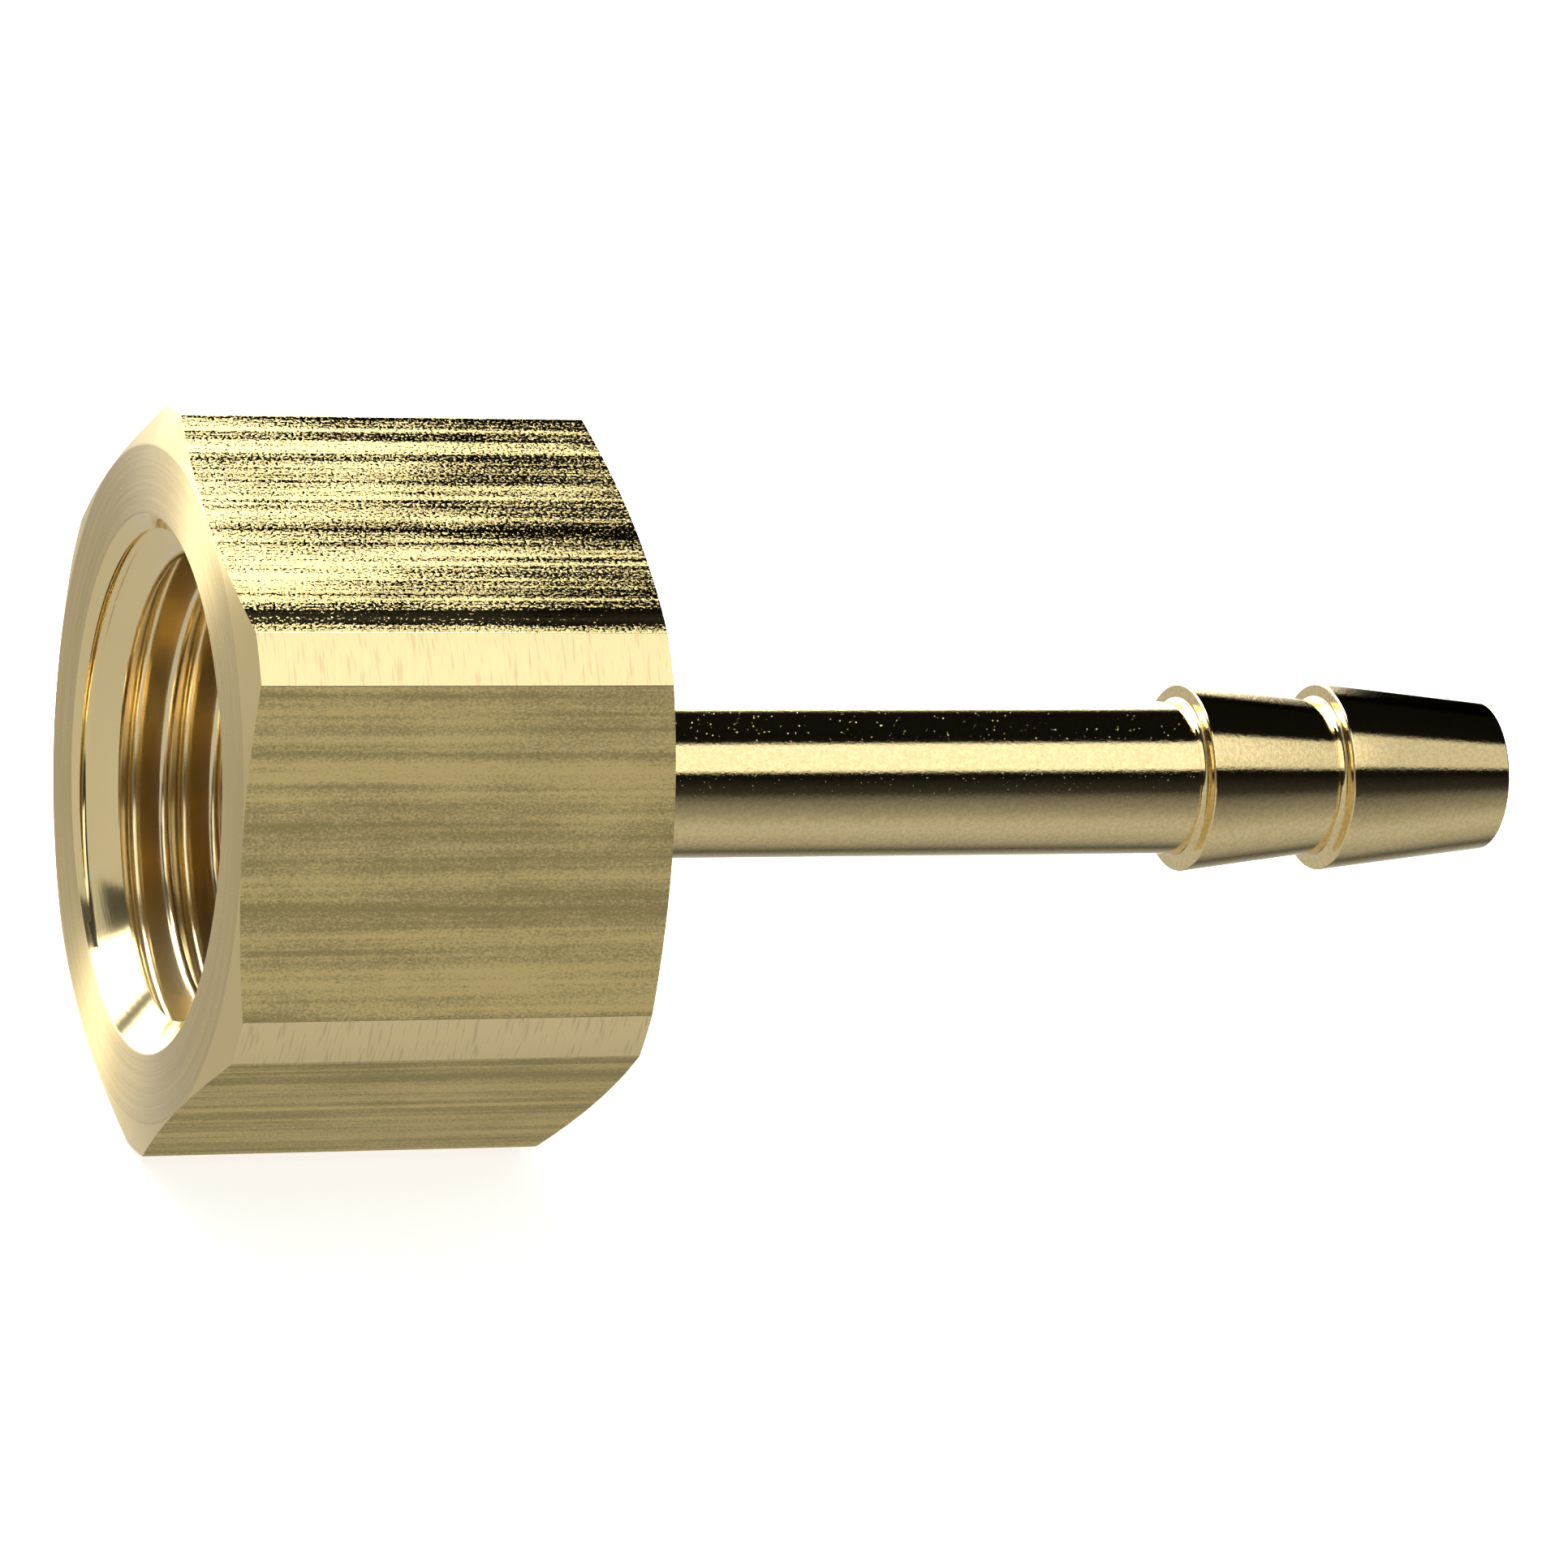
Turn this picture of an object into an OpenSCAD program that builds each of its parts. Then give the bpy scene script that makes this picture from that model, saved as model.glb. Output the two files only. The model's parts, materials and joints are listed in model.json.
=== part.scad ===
// Screw-on hose tail: a hexagon nut with an internal pipe thread and a slim barbed tail, turned in one piece
// from drawn hexagon bar. It lies on one flat of the hexagon, with the tail pointing along +X. The origin is
// under the middle of the part, on the surface that it lies on. All sizes are in millimetres.

/* [Hexagon nut] */
// Distance across the flats of the hexagon bar
across_flats = 17; // [15:0.5:24]
// How much is turned off the diameter across the bar's corners
corner_trim = 0.73; // [0.2:0.01:1.4]
// Length of the hexagon from the front face to the back face
nut_len = 11; // [9.5:0.5:20]
// Angle of the turned chamfers at both ends, measured from the end faces
chamfer_angle = 15; // [5:1:40]

/* [Threaded socket] */
// Diameter drilled for the thread, which is the diameter across its crests
tap_drill_d = 11.5; // [9:0.05:12]
// Depth of the drilled socket below the front face
socket_depth = 8.5; // [4:0.25:9]
// Depth of the countersunk mouth
mouth_depth = 1; // [0.3:0.1:1.5]
// Included angle of the countersunk mouth
mouth_angle = 90; // [60:5:110]

/* [Barbed tail] */
// Diameter of the plain stem, and of each barb's small end
stem_d = 4; // [3.4:0.05:4.6]
// Length of plain stem between the nut and the first barb
stem_len = 17.2; // [6:0.1:40]
// How far each barb's crest stands out from the stem
barb_rise = 0.475; // [0.3:0.025:1]
// Number of barbs
barb_count = 2; // [1:1:5]
// Distance from one barb's back face to the next
barb_pitch = 4; // [3:0.1:8]
// Length of the last barb, from its back face to the tip
tip_len = 4.8; // [3:0.1:10]
// Diameter of the tail at its tip
tip_d = 3.92; // [3.6:0.02:4.4]
// Radius of the rounded crest of each barb
crest_r = 0.06; // [0.02:0.01:0.1]
// Radius that the turning tool leaves at the foot of each barb's back face
barb_root_r = 0.18; // [0.05:0.01:0.2]
// Radius that the turning tool leaves where the stem meets the nut
stem_root_r = 0.3; // [0.1:0.05:1]

/* [Waterway] */
// Diameter of the bore from the socket's floor to the tip
bore_d = 2.5; // [1.5:0.1:2.9]
// Width of the chamfer that breaks the bore's edge at each end
bore_break = 0.15; // [0.05:0.05:0.2]

/* [Hidden] */
$fn = 96;
overrun = 1;
corner_d = across_flats / cos(30) - corner_trim;
chamfer_len = (corner_d - across_flats) / 2 * tan(chamfer_angle);
mouth_d = tap_drill_d + 2 * mouth_depth * tan(mouth_angle / 2);
barb_d = stem_d + 2 * barb_rise;
barb_taper = atan(barb_rise / barb_pitch);
total_len = nut_len + stem_len + (barb_count - 1) * barb_pitch + tip_len;

// Hexagon bar, cut to length, with its ends chamfered and its corners turned down. Its axis is Z here.
module hexagon_nut() {
    intersection() {
        rotate([0, 0, 30]) cylinder(h = nut_len, d = across_flats / cos(30), $fn = 6);
        rotate_extrude() polygon([
            [0, 0],
            [across_flats / 2, 0],
            [corner_d / 2, chamfer_len],
            [corner_d / 2, nut_len - chamfer_len],
            [across_flats / 2, nut_len],
            [0, nut_len]
        ]);
    }
}

// Section of the fillet under a square face, where a surface of radius r at the face meets it. The surface
// widens away from the face by the angle taper.
module root_fillet(r, taper, fillet_r) {
    centre = r + fillet_r * tan(taper) + fillet_r / cos(taper);
    difference() {
        polygon([
            [r, 0],
            [centre, 0],
            [centre, -fillet_r],
            [centre - fillet_r * cos(taper), -fillet_r - fillet_r * sin(taper)]
        ]);
        translate([centre, -fillet_r]) circle(r = fillet_r);
    }
}

// Half section of one barb: a square back face, a rounded crest and a cone that narrows to end_d
module barb_section(end_d, len) {
    taper = atan((barb_d - end_d) / 2 / len);
    centre = barb_d / 2 - crest_r * tan(taper) - crest_r / cos(taper);
    polygon([
        [0, 0],
        [centre, 0],
        [centre, crest_r],
        [centre + crest_r * cos(taper), crest_r + crest_r * sin(taper)],
        [end_d / 2, len],
        [0, len]
    ]);
    translate([centre, crest_r]) circle(r = crest_r);
}

// Slim tail: the plain stem and then the barbs, each with the radius at its root. It starts inside the nut.
module barbed_tail() {
    rotate_extrude() {
        translate([0, socket_depth]) square([stem_d / 2, nut_len - socket_depth + stem_len]);
        translate([0, nut_len]) mirror([0, 1]) root_fillet(stem_d / 2, 0, stem_root_r);
        for (i = [0 : barb_count - 1]) translate([0, nut_len + stem_len + i * barb_pitch]) {
            root_fillet(stem_d / 2, i == 0 ? 0 : barb_taper, barb_root_r);
            if (i < barb_count - 1) barb_section(stem_d, barb_pitch);
            else barb_section(tip_d, tip_len);
        }
    }
}

// Hole for the thread, with a flat floor and a countersunk mouth
module threaded_socket() {
    translate([0, 0, -overrun]) cylinder(h = socket_depth + overrun, d = tap_drill_d);
    translate([0, 0, -overrun]) cylinder(
        h = mouth_depth + overrun,
        d1 = mouth_d + 2 * overrun * tan(mouth_angle / 2),
        d2 = tap_drill_d
    );
}

// Bore from the socket's floor to the tip, with the edge at each end broken
module waterway() {
    wide_d = bore_d + 2 * bore_break;
    translate([0, 0, socket_depth - overrun]) cylinder(h = total_len - socket_depth + 2 * overrun, d = bore_d);
    translate([0, 0, socket_depth]) cylinder(h = bore_break, d1 = wide_d, d2 = bore_d);
    translate([0, 0, total_len - bore_break]) cylinder(h = bore_break, d1 = bore_d, d2 = wide_d);
}

// The whole fitting, laid on a flat with its tail along +X
module hose_tail() {
    color("darkkhaki")
        translate([-total_len / 2, 0, across_flats / 2]) rotate([0, 90, 0]) difference() {
            union() {
                hexagon_nut();
                barbed_tail();
            }
            threaded_socket();
            waterway();
        }
}

hose_tail();
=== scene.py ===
import json
import math

import bmesh
import bpy
from mathutils import Matrix, Vector


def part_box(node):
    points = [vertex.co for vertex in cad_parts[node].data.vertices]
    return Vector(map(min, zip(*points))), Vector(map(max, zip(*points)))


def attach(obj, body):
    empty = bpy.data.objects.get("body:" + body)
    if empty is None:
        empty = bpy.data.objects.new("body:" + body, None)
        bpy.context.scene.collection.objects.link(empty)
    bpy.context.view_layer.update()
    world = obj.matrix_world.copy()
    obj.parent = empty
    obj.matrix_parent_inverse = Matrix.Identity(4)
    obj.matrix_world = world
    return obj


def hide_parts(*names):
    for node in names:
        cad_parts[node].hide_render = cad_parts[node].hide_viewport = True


# The fitting is one piece of brass, turned from drawn hexagon bar. This script makes it again with the
# internal thread and the fine edges that the plain solid leaves out. It gives each surface the finish that
# its tool left.
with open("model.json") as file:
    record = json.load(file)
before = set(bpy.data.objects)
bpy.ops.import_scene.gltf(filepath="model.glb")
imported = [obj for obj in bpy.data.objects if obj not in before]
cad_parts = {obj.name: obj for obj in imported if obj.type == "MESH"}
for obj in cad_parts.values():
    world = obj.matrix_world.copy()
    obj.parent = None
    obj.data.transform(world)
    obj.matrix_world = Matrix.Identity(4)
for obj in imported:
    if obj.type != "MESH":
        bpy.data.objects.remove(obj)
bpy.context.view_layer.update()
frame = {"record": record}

# Sizes are in millimetres, and places are measured from the nut's front face along the axis, until the piece
# is put in its place.
MM = 0.001
# How near a place counts as the same, and how near two points are merged
NEAR = 0.001
MERGE_DISTANCE = 1e-4
mounts = {mount["name"]: mount for mount in frame["record"]["mounts"]}
node_low, node_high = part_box("hose_tail")
FRONT_X = node_low.x
AXIS_Z = (node_low.z + node_high.z) / 2
TOTAL_LEN = (node_high.x - node_low.x) / MM
FLAT_R = (node_high.z - node_low.z) / 2 / MM
CORNER_R = (node_high.y - node_low.y) / 2 / MM

# Hexagon nut
NUT_LEN = 11.0
# How far inside the flats the rim of each end face lies
FACE_INSET = 0.05
CHAMFER_ANGLE = math.radians(15)
FACE_R = FLAT_R - FACE_INSET
CHAMFER_LEN = (CORNER_R - FACE_R) * math.tan(CHAMFER_ANGLE)
EDGE_BREAK = 0.012
MOUTH_BREAK = 0.05
BREAK_SEGMENTS = 3
SHARP_ANGLE = math.radians(10)
# On the outside, only the six flats have a larger face than this, in square millimetres
FLAT_AREA = 20.0

# Threaded socket
CREST_R = mounts["thread"]["dims"]["r_mm"]
SOCKET_DEPTH = 8.5
MOUTH_DEPTH = 1.0
MOUTH_R = CREST_R + MOUTH_DEPTH
# Depth of the cone in the blank. Past the mouth it lies inside what the drill and the tap take out.
BLANK_DEPTH = 2.2
# Quarter inch parallel pipe thread, with roots and crests rounded as its standard has them
PITCH = 1.337
FLANK_ANGLE = math.radians(27.5)
THREAD_RADIUS = 0.137329 * PITCH
ROOT_R = 6.5785
# Place of the first root behind the face, on the side towards +Y
FIRST_ROOT = 0.406
# The thread gets shallower between these places
RUN_OUT_START = 6.2
RUN_OUT_END = 8.0
# The thread's plug starts this many turns before the first root, and is cut off in front of the face
TURNS_AHEAD = 3
PLUG_START = -0.6

# Barbed tail
STEM_R = 2.0
STEM_LEN = 17.2
BARB_R = 2.475
BARB_PITCH = 4.0
TIP_R = 1.96
CREST_ROUND = 0.06
BARB_ROOT_R = 0.18
STEM_ROOT_R = 0.3
TIP_BREAK = 0.05

# Waterway
BORE_R = mounts["waterway"]["dims"]["r_mm"]
BORE_BREAK = 0.15
# Half the length of the cone that cuts the break at the socket's floor
FLOOR_CONE_HALF = 0.2

# Steps round a full turn, for the turned shape, the thread and the cone at the socket's floor
TURN_STEPS = 360
THREAD_STEPS = 144
CONE_STEPS = 96
# Steps of the rounded parts of a section
FILLET_STEPS = 6
CREST_STEPS = 5
TIP_STEPS = 4
THREAD_ROUND_STEPS = 4
# Edges that turn by more than this are shaded as sharp
SHADED_SHARP = math.radians(30)


# Shapes

def arc(centre_x, centre_r, radius, start, end, steps):
    """Points of an arc in the half section. Angles are in radians, from along the axis towards outwards."""
    turn = (end - start) / steps
    angles = [start + turn * i for i in range(steps + 1)]
    return [(centre_x + radius * math.cos(a), centre_r + radius * math.sin(a)) for a in angles]


def root_fillet(face_x, surface_r, taper):
    """Arc where a surface that widens away from a square face, by the angle taper, runs into that face."""
    centre_r = surface_r + BARB_ROOT_R * (math.tan(taper) + 1 / math.cos(taper))
    return arc(face_x - BARB_ROOT_R, centre_r, BARB_ROOT_R, -math.pi / 2 - taper, 0, FILLET_STEPS)


def barb_crest(face_x, end_r, length):
    """Rounded crest at the top of a barb's square face. The barb then narrows to end_r over length."""
    taper = math.atan((BARB_R - end_r) / length)
    centre_r = BARB_R - CREST_ROUND * (math.tan(taper) + 1 / math.cos(taper))
    return arc(face_x + CREST_ROUND, centre_r, CREST_ROUND, math.pi, math.pi / 2 - taper, CREST_STEPS)


def turned_section():
    """Closed half section of the turned shape, before the hexagon's flats and the socket are cut."""
    first_barb = NUT_LEN + STEM_LEN
    last_barb = first_barb + BARB_PITCH
    barb_taper = math.atan((BARB_R - STEM_R) / BARB_PITCH)
    section = [(0, MOUTH_R), (0, FACE_R), (CHAMFER_LEN, CORNER_R), (NUT_LEN - CHAMFER_LEN, CORNER_R)]
    section += [(NUT_LEN, FACE_R)]
    stem_root = (NUT_LEN + STEM_ROOT_R, STEM_R + STEM_ROOT_R)
    section += arc(*stem_root, STEM_ROOT_R, math.pi, math.pi * 1.5, FILLET_STEPS)
    section += root_fillet(first_barb, STEM_R, 0)
    section += barb_crest(first_barb, STEM_R, BARB_PITCH)
    section += root_fillet(last_barb, STEM_R, barb_taper)
    section += barb_crest(last_barb, TIP_R, TOTAL_LEN - last_barb)
    section += arc(TOTAL_LEN - TIP_BREAK, TIP_R - TIP_BREAK, TIP_BREAK, math.pi / 2, 0, TIP_STEPS)
    section += [(TOTAL_LEN, BORE_R + BORE_BREAK), (TOTAL_LEN - BORE_BREAK, BORE_R)]
    section += [(BLANK_DEPTH, BORE_R), (BLANK_DEPTH, MOUTH_R - BLANK_DEPTH)]
    return section


def add_section(bm, points, closed):
    """Draws a half section as edges in the plane through the axis."""
    verts = [bm.verts.new((x, r, 0)) for x, r in points]
    edges = [bm.edges.new(pair) for pair in zip(verts, verts[1:])]
    if closed:
        edges.append(bm.edges.new((verts[-1], verts[0])))
    return verts + edges


def close_up(bm):
    """Merges doubled points and turns every face outwards."""
    bmesh.ops.remove_doubles(bm, verts=bm.verts, dist=MERGE_DISTANCE)
    bmesh.ops.recalc_face_normals(bm, faces=bm.faces)


def cut_flat(bm, place, normal):
    """Cuts off what is beyond a plane and closes the cut with one flat face."""
    everything = bm.verts[:] + bm.edges[:] + bm.faces[:]
    cut = bmesh.ops.bisect_plane(bm, geom=everything, plane_co=place, plane_no=normal, clear_outer=True)
    rim = [item for item in cut["geom_cut"] if isinstance(item, bmesh.types.BMEdge)]
    bmesh.ops.edgeloop_fill(bm, edges=rim)


def turned_blank():
    """The bar with its outside turned and its bore and the mouth's cone cut, but with no socket yet."""
    bm = bmesh.new()
    section = add_section(bm, turned_section(), closed=True)
    bmesh.ops.spin(
        bm, geom=section, cent=(0, 0, 0), axis=(1, 0, 0), dvec=(0, 0, 0),
        angle=math.tau, steps=TURN_STEPS, use_merge=True, use_duplicate=False,
    )
    close_up(bm)
    for side in range(6):
        angle = math.radians(30 + 60 * side)
        outwards = Vector((0, math.cos(angle), math.sin(angle)))
        cut_flat(bm, outwards * FLAT_R, outwards)
    close_up(bm)
    break_nut_edges(bm)
    return bm


def break_nut_edges(bm):
    """Breaks the nut's edges and, more, its mouth's edge. The edges where the flats run out stay sharp."""
    mouth, others = [], []
    for edge in bm.edges:
        middle = (edge.verts[0].co + edge.verts[1].co) / 2
        radius = middle.yz.length
        sharp = edge.is_manifold and edge.calc_face_angle() > SHARP_ANGLE
        if not sharp or middle.x > NUT_LEN + NEAR or radius < MOUTH_R - NEAR:
            continue
        on_chamfer = not CHAMFER_LEN < middle.x < NUT_LEN - CHAMFER_LEN
        if on_chamfer and max(face.calc_area() for face in edge.link_faces) > FLAT_AREA:
            continue
        (mouth if radius < MOUTH_R + NEAR else others).append(edge)
    for edges, size in ((mouth, MOUTH_BREAK), (others, EDGE_BREAK)):
        bmesh.ops.bevel(
            bm, geom=edges, offset=size, offset_type="OFFSET", segments=BREAK_SEGMENTS, profile=0.5,
            affect="EDGES", clamp_overlap=True, material=-1,
        )


def thread_section():
    """One pitch of the thread's profile, from the middle of one root to the middle of the next."""
    root_centre, crest_centre = ROOT_R - THREAD_RADIUS, CREST_R + THREAD_RADIUS
    half = arc(0, root_centre, THREAD_RADIUS, math.pi / 2, FLANK_ANGLE, THREAD_ROUND_STEPS)
    half += arc(
        PITCH / 2, crest_centre, THREAD_RADIUS, math.pi + FLANK_ANGLE, math.pi * 1.5, THREAD_ROUND_STEPS,
    )
    return half + [(PITCH - x, r) for x, r in reversed(half[:-1])]


def thread_plug():
    """What the drill and the tap take out of the socket: a right hand screw with a flat end."""
    start_x = FIRST_ROOT - TURNS_AHEAD * PITCH
    turns = math.ceil((SOCKET_DEPTH - start_x) / PITCH) + 1
    bm = bmesh.new()
    section = add_section(bm, [(start_x + x, r) for x, r in thread_section()], closed=False)
    bmesh.ops.spin(
        bm, geom=section, cent=(0, 0, 0), axis=(1, 0, 0), dvec=(PITCH / THREAD_STEPS, 0, 0),
        angle=math.tau, steps=THREAD_STEPS, use_merge=False, use_duplicate=False,
    )
    first_turn = bm.verts[:] + bm.edges[:] + bm.faces[:]
    for turn in range(1, turns):
        copied = bmesh.ops.duplicate(bm, geom=first_turn)["geom"]
        verts = [item for item in copied if isinstance(item, bmesh.types.BMVert)]
        bmesh.ops.translate(bm, verts=verts, vec=(PITCH * turn, 0, 0))
    bmesh.ops.remove_doubles(bm, verts=bm.verts, dist=MERGE_DISTANCE)
    for vert in bm.verts:
        into_run_out = (vert.co.x - RUN_OUT_START) / (RUN_OUT_END - RUN_OUT_START)
        limit = ROOT_R + (CREST_R - ROOT_R) * min(max(into_run_out, 0), 1)
        radius = vert.co.yz.length
        if radius > limit:
            vert.co.yz = vert.co.yz * (limit / radius)
    cut_flat(bm, (SOCKET_DEPTH, 0, 0), (1, 0, 0))
    cut_flat(bm, (PLUG_START, 0, 0), (-1, 0, 0))
    close_up(bm)
    return bm


def floor_chamfer():
    """Cone that breaks the bore's edge at the socket's floor."""
    bm = bmesh.new()
    middle_r = BORE_R + BORE_BREAK
    along_x = Matrix.Translation((SOCKET_DEPTH, 0, 0)) @ Matrix.Rotation(math.pi / 2, 4, "Y")
    bmesh.ops.create_cone(
        bm, cap_ends=True, segments=CONE_STEPS, radius1=middle_r + FLOOR_CONE_HALF,
        radius2=middle_r - FLOOR_CONE_HALF, depth=2 * FLOOR_CONE_HALF, matrix=along_x,
    )
    return bm


def new_piece(name, bm):
    """Makes an object of a bmesh, which is used up."""
    mesh = bpy.data.meshes.new(name)
    bm.to_mesh(mesh)
    bm.free()
    piece = bpy.data.objects.new(name, mesh)
    bpy.context.scene.collection.objects.link(piece)
    return piece


def cut_out(piece, cutter):
    """Takes the cutter's shape out of the piece, and deletes the cutter."""
    cut = piece.modifiers.new("cut", "BOOLEAN")
    cut.operation = "DIFFERENCE"
    cut.solver = "EXACT"
    cut.object = cutter
    uncut, spent = piece.data, cutter.data
    depsgraph = bpy.context.evaluated_depsgraph_get()
    result = bpy.data.meshes.new_from_object(piece.evaluated_get(depsgraph))
    piece.modifiers.remove(cut)
    piece.data = result
    bpy.data.objects.remove(cutter)
    bpy.data.meshes.remove(uncut)
    bpy.data.meshes.remove(spent)


# Finishes

class Nodes:
    """Short calls for the nodes that the finishes and the studio share."""

    def __init__(self, tree):
        self.nodes = tree.nodes
        self.links = tree.links

    def new(self, kind, **settings):
        node = self.nodes.new("ShaderNode" + kind)
        for name, value in settings.items():
            setattr(node, name, value)
        return node

    def feed(self, socket, source):
        """Links a source to a socket, or sets the socket if the source is a plain value."""
        if isinstance(source, bpy.types.NodeSocket):
            self.links.new(source, socket)
        else:
            socket.default_value = source

    def math(self, operation, first, second=0.5):
        """Result of a sum or function. A function of one number leaves out the second."""
        node = self.new("Math", operation=operation)
        self.feed(node.inputs[0], first)
        self.feed(node.inputs[1], second)
        return node.outputs["Value"]

    def weighted_sum(self, *terms):
        """Sum of patterns, each given with its weight."""
        total = 0.0
        for pattern, weight in terms:
            total = self.math("ADD", self.math("MULTIPLY", pattern, weight), total)
        return total

    def product(self, *shares):
        """Product of shares from 0 to 1, which is 1 only where all of them are."""
        total = 1.0
        for share in shares:
            total = self.math("MULTIPLY", share, total)
        return total

    def between(self, value, low, high, out_low=0.0, out_high=1.0):
        """Takes the range from low to high to the range from out_low to out_high, with smooth ends."""
        node = self.new("MapRange", interpolation_type="SMOOTHSTEP")
        self.feed(node.inputs["Value"], value)
        node.inputs["From Min"].default_value = low
        node.inputs["From Max"].default_value = high
        node.inputs["To Min"].default_value = out_low
        node.inputs["To Max"].default_value = out_high
        return node.outputs["Result"]

    def mix(self, share, first, second):
        """First colour where share is 0, second where it is 1."""
        node = self.new("Mix", data_type="RGBA")
        for name, source in (("Factor", share), ("A", first), ("B", second)):
            self.feed(node.inputs[name], source)
        return node.outputs["Result"]

    def ramp(self, value, low, high, stops):
        """Level at a value from low to high, in straight lines between stops of value and level."""
        top = max(level for place, level in stops)
        share = self.math("DIVIDE", self.math("SUBTRACT", value, low), high - low)
        node = self.new("ValToRGB")
        elements = node.color_ramp.elements
        elements.remove(elements[1])
        for i, (place, level) in enumerate(stops):
            at = (place - low) / (high - low)
            element = elements.new(at) if i else elements[0]
            element.position = at
            element.color = (level / top, level / top, level / top, 1)
        self.feed(node.inputs["Fac"], share)
        return self.math("MULTIPLY", node.outputs["Color"], top)

    def parts(self, vector):
        """The three numbers of a vector."""
        node = self.new("SeparateXYZ")
        self.feed(node.inputs["Vector"], vector)
        return node.outputs


class Finish(Nodes):
    """A finish with its patterns placed in millimetres: X from the front face, Y and Z from the axis."""

    def __init__(self, name):
        self.material = bpy.data.materials.new(name)
        self.material.use_nodes = True
        super().__init__(self.material.node_tree)
        self.shader = self.nodes["Principled BSDF"]
        self.shader.inputs["Metallic"].default_value = 1.0
        node = self.new("Mapping")
        node.inputs["Location"].default_value = (-FRONT_X / MM, 0, -AXIS_Z / MM)
        node.inputs["Scale"].default_value = (1 / MM,) * 3
        self.feed(node.inputs["Vector"], self.new("TexCoord").outputs["Object"])
        self.place = node.outputs["Vector"]

    def put(self, **values):
        """Feeds the shader's sockets, named with underscores for spaces."""
        for name, source in values.items():
            self.feed(self.shader.inputs[name.replace("_", " ")], source)

    def noise(self, along, across, detail=2.0, rough=0.5, place=None):
        """Cloudy pattern from 0 to 1, with so many clouds in a millimetre along the axis and across it."""
        spread = self.new("VectorMath", operation="MULTIPLY")
        self.feed(spread.inputs[0], place or self.place)
        spread.inputs[1].default_value = (along, across, across)
        node = self.new("TexNoise")
        self.feed(node.inputs["Vector"], spread.outputs["Vector"])
        node.inputs["Scale"].default_value = 1.0
        node.inputs["Detail"].default_value = detail
        node.inputs["Roughness"].default_value = rough
        return node.outputs["Fac"]

    def rings(self, outwards, around):
        """Cloudy rings round the axis: so many in a millimetre outwards, and so many clouds in a radian."""
        x, y, z = self.parts(self.place)
        radius = self.new("VectorMath", operation="LENGTH")
        flat = self.new("CombineXYZ")
        for name, source in (("Y", y), ("Z", z)):
            self.feed(flat.inputs[name], source)
        self.feed(radius.inputs[0], flat.outputs["Vector"])
        ring = self.new("CombineXYZ")
        self.feed(ring.inputs["X"], self.math("ADD", radius.outputs["Value"], x))
        for name, source in (("Y", y), ("Z", z)):
            self.feed(ring.inputs[name], self.math("DIVIDE", source, radius.outputs["Value"]))
        return self.noise(outwards, around, detail=3.0, rough=0.6, place=ring.outputs["Vector"])

    def relief(self, *layers):
        """Surface normal of patterns laid over each other, each with its depth in millimetres."""
        normal = None
        for pattern, depth in layers:
            node = self.new("Bump")
            node.inputs["Strength"].default_value = 1.0
            node.inputs["Distance"].default_value = MM
            self.feed(node.inputs["Height"], self.math("MULTIPLY", pattern, depth))
            if normal is not None:
                self.feed(node.inputs["Normal"], normal)
            normal = node.outputs["Normal"]
        return normal

    def cross(self, first, second):
        """Direction square to two others."""
        node = self.new("VectorMath", operation="CROSS_PRODUCT")
        self.feed(node.inputs[0], first)
        self.feed(node.inputs[1], second)
        return node.outputs["Vector"]

    def brushed(self, amount, marks):
        """Spreads the gloss in the surface, across marks that run along the axis or round it."""
        normal = self.new("NewGeometry").outputs["Normal"]
        along = (1, 0, 0) if marks == "along" else self.cross((1, 0, 0), self.place)
        self.put(Anisotropic=amount, Tangent=self.cross(normal, along))


# Place across the top flat of its wide burnished streak
WIDE_STREAK_Y = -3.5

# Colours of the brass: where it is cut bright, and as each finish has it, some with painted light and shade
BRASS = (0.90, 0.725, 0.375, 1)
MOTTLED_BRASS = (0.78, 0.62, 0.31, 1)
# A paler copy of the faced brass: painted light
CHAMFER_LIT_BRASS = (0.85, 0.685, 0.345, 1)
FACED_BRASS = (0.76, 0.61, 0.31, 1)
FACED_DARK = (0.64, 0.515, 0.26, 1)
TICKED_BRASS = (0.74, 0.595, 0.32, 1)
TAPPED_BRASS = (0.88, 0.745, 0.46, 1)
# Painted shade deep in the socket and on its floor
SOCKET_SHADE_BRASS = (0.42, 0.30, 0.13, 1)
DRAWN_BRASS = (1.0, 0.82, 0.385, 1)
# Darkest drawn brass: the streaks' own tone, with painted shade of the dark room they would mirror
DRAWN_STREAK_AND_SHADE = (0.57, 0.465, 0.205, 1)


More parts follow.
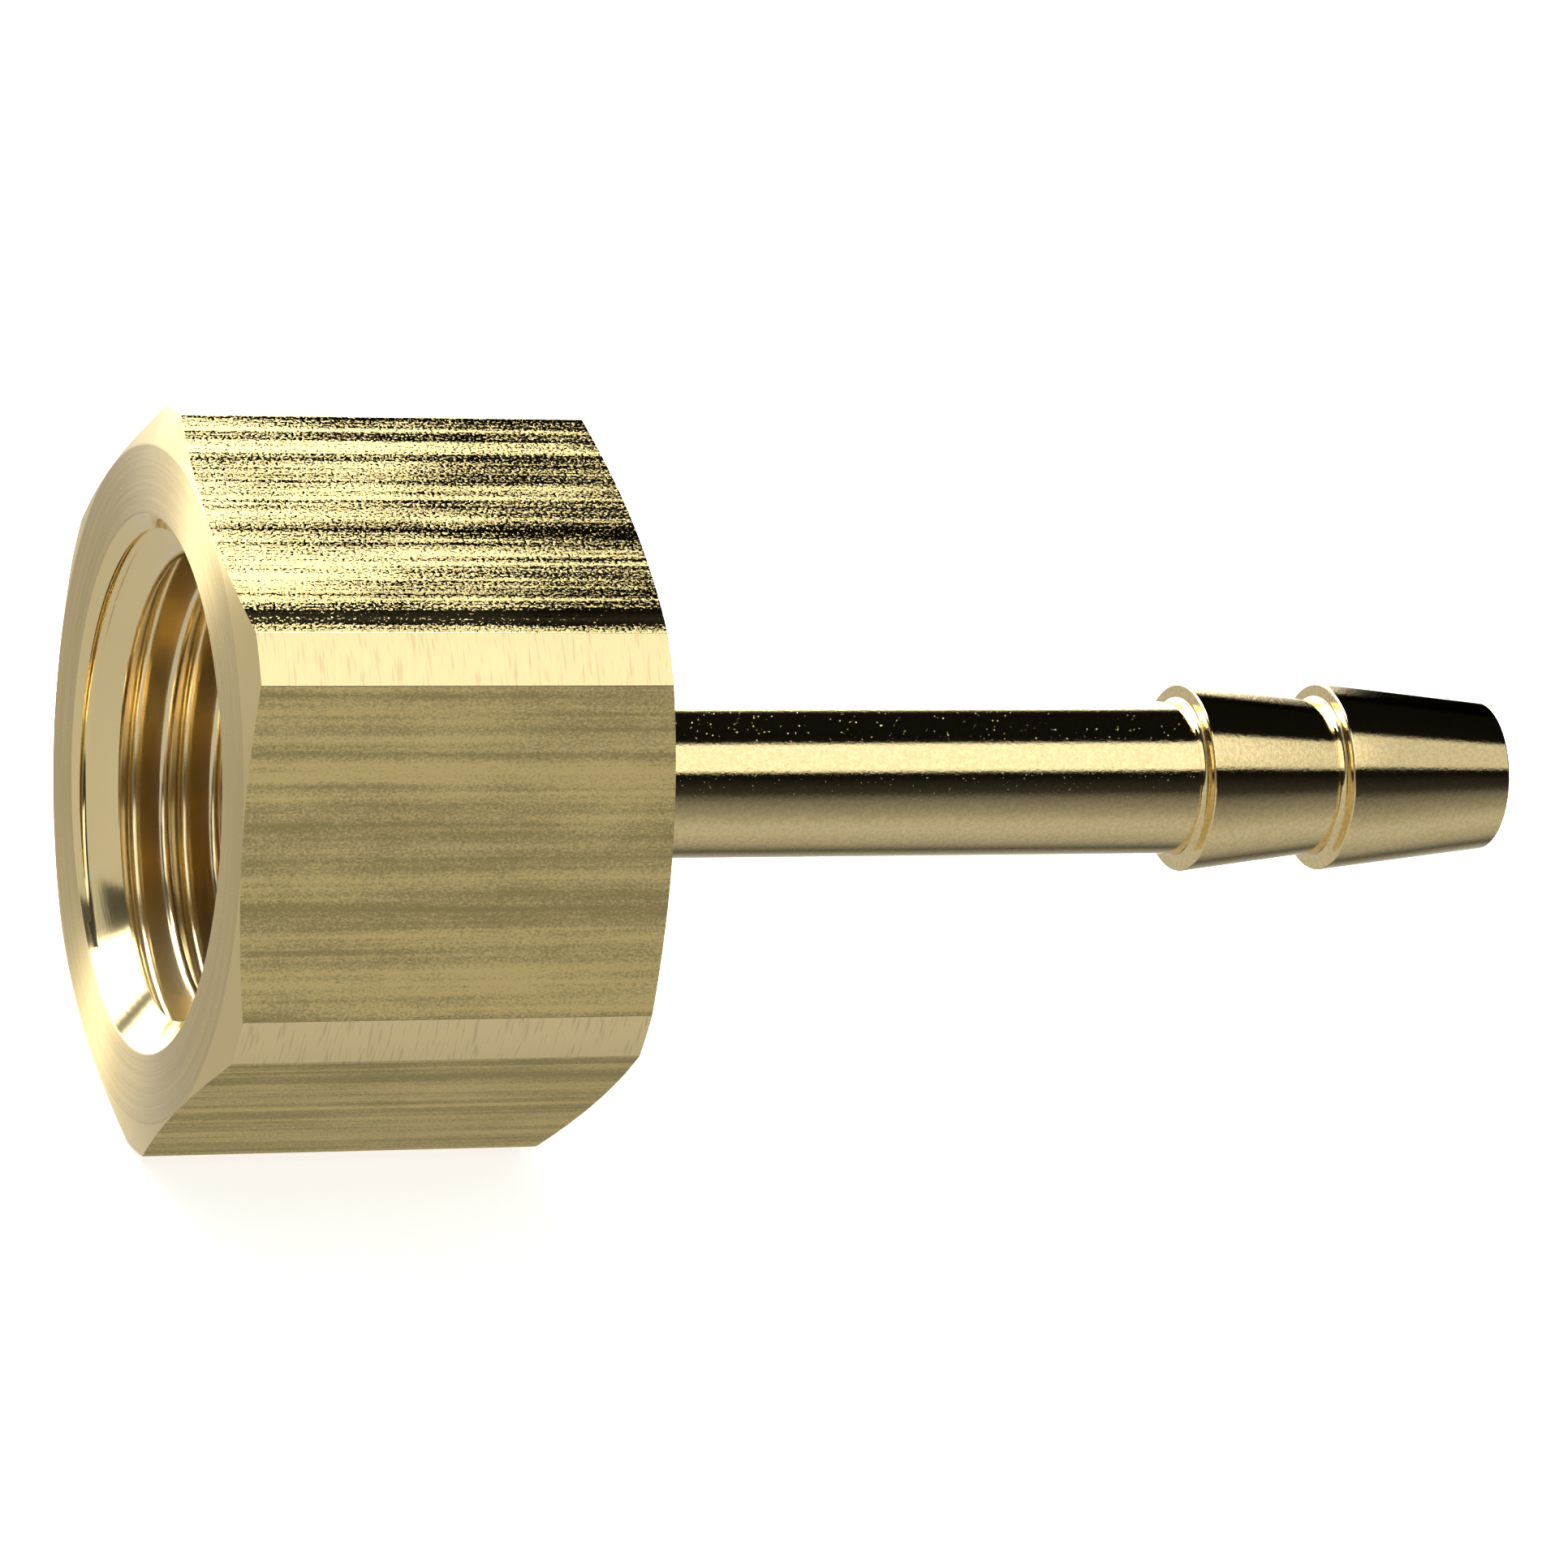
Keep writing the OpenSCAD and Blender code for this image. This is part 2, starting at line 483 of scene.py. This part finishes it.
def drawn_flat():
    """Flats of the bar: long streaks along the axis from the drawing die, with a fine broken grain and
    painted shade.
    """
    finish = Finish("drawn_flat")
    rows = finish.noise(along=0.02, across=1.3, detail=3.0, rough=0.65)
    lines = finish.noise(along=0.05, across=6.0, detail=3.0, rough=0.65)
    grain = finish.noise(along=13.0, across=22.0, detail=3.0, rough=0.65)
    patches = finish.noise(along=0.35, across=0.8)
    specks = finish.noise(along=12.0, across=18.0, rough=0.6)
    # The top flat is burnished in specks and streaks, and in one wide streak near its edge towards -Y
    x, y, z = finish.parts(finish.place)
    on_top = finish.between(z, FLAT_R - 0.6, FLAT_R - 0.1)
    from_streak = finish.math("ABSOLUTE", finish.math("SUBTRACT", y, WIDE_STREAK_Y))
    wide_streak = finish.between(from_streak, 0.50, 0.10)
    left_rough = finish.weighted_sum(
        (lines, 0.75), (specks, 1.25), (rows, 0.30), (patches, 0.20),
        (wide_streak, -0.34), (x, -0.01), (y, -0.01),
    )
    burnished = finish.product(finish.between(left_rough, 1.31, 1.11), on_top)
    # Every flat is paler and rougher where it stands proud of its streaks, its darker streaks partly painted
    # shade
    proud = finish.weighted_sum((rows, 1.2), (lines, 0.4), (grain, 0.9), (patches, 0.3))
    proud_range = (1.20, 1.60)
    shade = finish.between(proud, *proud_range)
    unburnished = finish.between(proud, *proud_range, 0.52, 0.64)
    rough_grain = finish.product(grain, finish.math("SUBTRACT", 1.0, burnished))
    finish.put(
        Normal=finish.relief((rows, 0.03), (lines, 0.005), (rough_grain, 0.004)),
        Base_Color=finish.mix(shade, DRAWN_STREAK_AND_SHADE, DRAWN_BRASS),
        Roughness=finish.weighted_sum((unburnished, 1.0), (burnished, -0.50)),
    )
    finish.brushed(0.7, "along")
    return finish.material


def faced_end():
    """End faces and chamfers: fine circular marks from facing. The chamfers are a little paler: painted
    light.
    """
    finish = Finish("faced_end")
    marks = finish.rings(outwards=12.0, around=1.5)
    grain = finish.noise(along=14.0, across=14.0, rough=0.6)
    shade = finish.between(finish.weighted_sum((marks, 0.6), (grain, 0.4)), 0.35, 0.65)
    faced = finish.mix(shade, FACED_DARK, FACED_BRASS)
    # Behind the front face, on the chamfers and the back face, the brass is painted paler: painted light
    behind_face = finish.between(finish.parts(finish.place)["X"], 0.005, 0.02)
    finish.put(
        Normal=finish.relief((marks, 0.003), (grain, 0.002)),
        Base_Color=finish.mix(behind_face, faced, CHAMFER_LIT_BRASS), Roughness=0.42,
    )
    finish.brushed(0.88, "round")
    return finish.material


def turned_corner():
    """Narrow bands that the corners are turned down to, with short torn ticks round the axis."""
    finish = Finish("turned_corner")
    marks = finish.noise(along=9.0, across=0.8, detail=3.0, rough=0.6)
    ticks = finish.between(finish.noise(along=14.0, across=1.3), 0.54, 0.70)
    finish.put(
        Normal=finish.relief((marks, 0.004)),
        Base_Color=finish.mix(ticks, BRASS, TICKED_BRASS), Roughness=0.27,
    )
    finish.brushed(0.7, "round")
    return finish.material


def cut_socket():
    """Mouth and thread: the mouth's cone is cut bright, the thread is duller and the deep end has painted
    shade.
    """
    finish = Finish("cut_socket")
    marks = finish.noise(along=14.0, across=0.8)
    x = finish.parts(finish.place)["X"]
    mouth_end = (MOUTH_DEPTH - 0.05, MOUTH_DEPTH + 0.1)
    tapped = finish.mix(finish.between(x, *mouth_end), BRASS, TAPPED_BRASS)
    finish.put(
        Normal=finish.relief((marks, finish.between(x, *mouth_end, 0.002, 0.007))),
        # The colour darkens towards the socket's floor: painted shade in the recess
        Base_Color=finish.mix(finish.between(x, RUN_OUT_START + 0.3, RUN_OUT_END), tapped, SOCKET_SHADE_BRASS),
        Roughness=finish.between(x, *mouth_end, 0.13, 0.21),
    )
    finish.brushed(0.4, "round")
    return finish.material


def turned_tail():
    """Stem, barbs and bore: turned bright, with a fine mottle and, on the stem, a few tiny pits."""
    finish = Finish("turned_tail")
    mottle = finish.noise(along=9.0, across=9.0, detail=4.0, rough=0.7)
    stem_end = NUT_LEN + STEM_LEN
    on_stem = finish.between(finish.parts(finish.place)["X"], stem_end, stem_end - 0.1)
    deepest = finish.between(finish.noise(along=16.0, across=16.0, detail=1.0), 0.72, 0.80)
    finish.put(
        Normal=finish.relief((mottle, 0.003), (finish.product(deepest, on_stem), -0.0025)),
        Base_Color=finish.mix(finish.between(mottle, 0.42, 0.58), MOTTLED_BRASS, BRASS), Roughness=0.07,
    )
    return finish.material


FINISHES = [drawn_flat, faced_end, turned_corner, cut_socket, turned_tail]


def finish_of(face):
    """Which of the finishes a face has, by where it is and which way it looks."""
    middle = face.calc_center_median()
    radius = middle.yz.length
    looks_outwards = face.normal.dot(Vector((0, middle.y, middle.z))) > 0
    if abs(middle.x - NUT_LEN) < NEAR:
        return faced_end
    if abs(middle.x - SOCKET_DEPTH) < NEAR:
        return cut_socket
    if radius < BORE_R + BORE_BREAK or (middle.x > NUT_LEN and radius < BARB_R):
        return turned_tail
    if middle.x > NEAR and radius < MOUTH_R and not looks_outwards:
        return cut_socket
    if face.calc_area() > FLAT_AREA:
        return drawn_flat
    if radius > CORNER_R - EDGE_BREAK and CHAMFER_LEN < middle.x < NUT_LEN - CHAMFER_LEN:
        return turned_corner
    return faced_end


def dress(piece):
    """Gives each face its finish, marks the sharp edges, and puts the mesh in its place in the frame."""
    mesh = piece.data
    mesh.materials.clear()
    for finish in FINISHES:
        mesh.materials.append(finish())
    bm = bmesh.new()
    bm.from_mesh(mesh)
    close_up(bm)
    for face in bm.faces:
        face.smooth = True
        face.material_index = FINISHES.index(finish_of(face))
    for edge in bm.edges:
        edge.smooth = edge.is_manifold and edge.calc_face_angle() < SHADED_SHARP
    bm.to_mesh(mesh)
    bm.free()
    mesh.transform(Matrix.Translation((FRONT_X, 0, AXIS_Z)) @ Matrix.Scale(MM, 4))
    shading = piece.modifiers.new("even_shading", "WEIGHTED_NORMAL")
    shading.keep_sharp = True
    shading.weight = 100


def hose_tail():
    """The whole fitting, in place of the plain solid."""
    piece = new_piece("hose_tail_dressed", turned_blank())
    cut_out(piece, new_piece("plug", thread_plug()))
    cut_out(piece, new_piece("floor_chamfer", floor_chamfer()))
    dress(piece)
    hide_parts("hose_tail")
    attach(piece, "root")


# Studio

def towards(azimuth, elevation):
    """Direction with an azimuth in degrees from +Y towards +X, and an elevation above the horizon."""
    a, e = math.radians(azimuth), math.radians(elevation)
    return Vector((math.sin(a) * math.cos(e), math.cos(a) * math.cos(e), math.sin(e)))


def soft_box(name, centre, look_at, size, radiance):
    """Rectangular lamp that looks at a point. Its size is across and along, in metres."""
    lamp = bpy.data.lights.new(name, "AREA")
    lamp.shape = "RECTANGLE"
    lamp.size, lamp.size_y = size
    lamp.energy = radiance * math.pi * size[0] * size[1]
    box = bpy.data.objects.new(name, lamp)
    turn = (look_at - centre).to_track_quat("-Z", "Y").to_matrix().to_4x4()
    box.matrix_world = Matrix.Translation(centre) @ turn
    box.visible_camera = False
    bpy.context.scene.collection.objects.link(box)


def studio_lights():
    """Lamps above and behind the part, with their sizes and distances in metres."""
    # Overhead boxes, end to end along the part, which the tail's bright band mirrors
    height = 0.5
    width = 2 * height * math.tan(math.radians(21.5))
    split = 0.29
    boxes = (("overhead_box", -0.40, split, 1.35), ("overhead_end", split, 0.7, 0.72))
    for name, start, end, radiance in boxes:
        below = Vector(((start + end) / 2, 0, AXIS_Z))
        centre = below + towards(azimuth=180, elevation=74.5) * height
        soft_box(name, centre, below, (end - start, width), radiance)
    # Boxes high at the back, which only rough surfaces and rounded edges pick up
    middle = Vector((0, 0, AXIS_Z))
    distance = 0.6
    boxes = (("back_top_box", -9, 0.28, 22.0), ("back_left_box", -30, 0.15, 12.0))
    for name, azimuth, width, radiance in boxes:
        centre = middle + towards(azimuth, elevation=38) * distance
        soft_box(name, centre, middle, (width, 0.5), radiance)


def studio_room():
    """World: pale below and dark above, with a bright sheet behind the tail and a box behind the nut."""
    world = bpy.data.worlds.new("studio_room")
    bpy.context.scene.world = world
    world.use_nodes = True
    room = Nodes(world.node_tree)
    x, y, z = room.parts(room.new("TexCoord").outputs["Generated"])
    degrees = 180 / math.pi
    # Right side, towards the tail, by the angle round the part's axis: 0 in front, 90 above, 180 behind and
    # -90 below. The bright sheet is from 174 to 194.
    angle = room.math("MULTIPLY", room.math("ARCTAN2", z, room.math("MULTIPLY", y, -1)), degrees)
    angle = room.math("SUBTRACT", room.math("FLOORED_MODULO", room.math("ADD", angle, 90), 360), 90)
    right = room.ramp(angle, -90, 270, [
        (-90, 0.10), (-70, 0.40), (-45, 0.55), (-30, 0.55), (-8, 0.33), (11, 0.18), (21, 0.04),
        (44, 0.006), (160, 0.004), (166, 0.1), (174, 4.5), (194, 4.5), (221, 1.6), (240, 0.5), (270, 0.10),
    ])
    # The sheet ends where the barbs would mirror more than its edge
    behind = room.math("MULTIPLY", room.between(angle, 150, 160), room.between(angle, 215, 205))
    beyond = room.math("MULTIPLY", room.between(x, 0.41, 0.45), behind)
    right = room.math("MULTIPLY", right, room.math("SUBTRACT", 1, beyond))
    # Left side, towards the nut, by height above the horizon: a pale table, and a bright box with a slanting
    # lower edge
    elevation = room.math("MULTIPLY", room.math("ARCSINE", z), degrees)
    azimuth = room.math("MULTIPLY", room.math("ARCTAN2", x, y), degrees)
    table = room.ramp(elevation, -90, 90, [
        (-90, 0.56), (-30, 0.56), (22, 0.62), (26, 0.62), (30, 0.03), (90, 0.03),
    ])
    slant = room.weighted_sum((elevation, 1.0), (azimuth, 0.85))
    box = room.product(
        room.between(azimuth, -55, -53.5), room.between(slant, -41, -37),
        room.between(elevation, -35, -31), room.between(elevation, 26, 24),
    )
    # A dark block beside the box and a dark bar across it, which the mouth's cone mirrors
    block = room.product(
        room.between(azimuth, -71.5, -70), room.between(azimuth, -54, -55.5),
        room.between(elevation, 10, 15), room.between(elevation, 28, 26),
    )
    bar = room.product(
        room.between(azimuth, -29, -28), room.between(azimuth, -22.5, -23.5),
        room.between(room.math("ABSOLUTE", elevation), 10, 8),
    )
    left = room.weighted_sum((table, 1.0), (box, 2.4), (block, -0.55), (bar, -2.9))
    is_right = room.between(x, -0.1, 0.1)
    level = room.weighted_sum((right, is_right), (left, room.math("SUBTRACT", 1, is_right)))
    # The camera itself sees a plain pale room
    seen = room.new("LightPath").outputs["Is Camera Ray"]
    level = room.weighted_sum((level, room.math("SUBTRACT", 1, seen)), (seen, 0.95))
    background = room.nodes["Background"]
    background.inputs["Color"].default_value = (1, 1, 1, 1)
    room.feed(background.inputs["Strength"], level)


def pale_floor():
    """Pale floor that the part neither mirrors nor is shaded by, so that the studio alone lights it."""
    bm = bmesh.new()
    bmesh.ops.create_grid(bm, x_segments=1, y_segments=1, size=3.0)
    floor = new_piece("floor", bm)
    finish = Finish("pale_floor")
    finish.put(Metallic=0.0, Base_Color=(0.85, 0.85, 0.85, 1), Roughness=1.0)
    finish.put(Emission_Color=(1, 1, 1, 1), Emission_Strength=0.68)
    floor.data.materials.append(finish.material)
    floor.visible_glossy = False
    floor.visible_shadow = False


def photo_camera():
    """Camera at the photograph's place and angle. Its view line meets the plane y = 0 at the aim."""
    aim = Vector((-1.342, 0, 8.355)) * MM
    distance = 189.431 * MM
    azimuth, elevation, roll = math.radians(27.388), math.radians(38.437), math.radians(17.496)
    data = bpy.data.cameras.new("photo_camera")
    data.sensor_width = 36.0
    data.lens = 168.593
    data.clip_start = 0.01
    camera = bpy.data.objects.new("photo_camera", data)
    turn = (
        Matrix.Rotation(-azimuth, 4, "Z")
        @ Matrix.Rotation(math.pi / 2 - elevation, 4, "X")
        @ Matrix.Rotation(roll, 4, "Z")
    )
    forward = (turn @ Vector((0, 0, -1, 0))).to_3d()
    camera.matrix_world = Matrix.Translation(aim - forward * distance) @ turn
    bpy.context.scene.collection.objects.link(camera)
    bpy.context.scene.camera = camera


hose_tail()
pale_floor()
studio_lights()
studio_room()
photo_camera()
bpy.context.scene.view_settings.view_transform = "Standard"
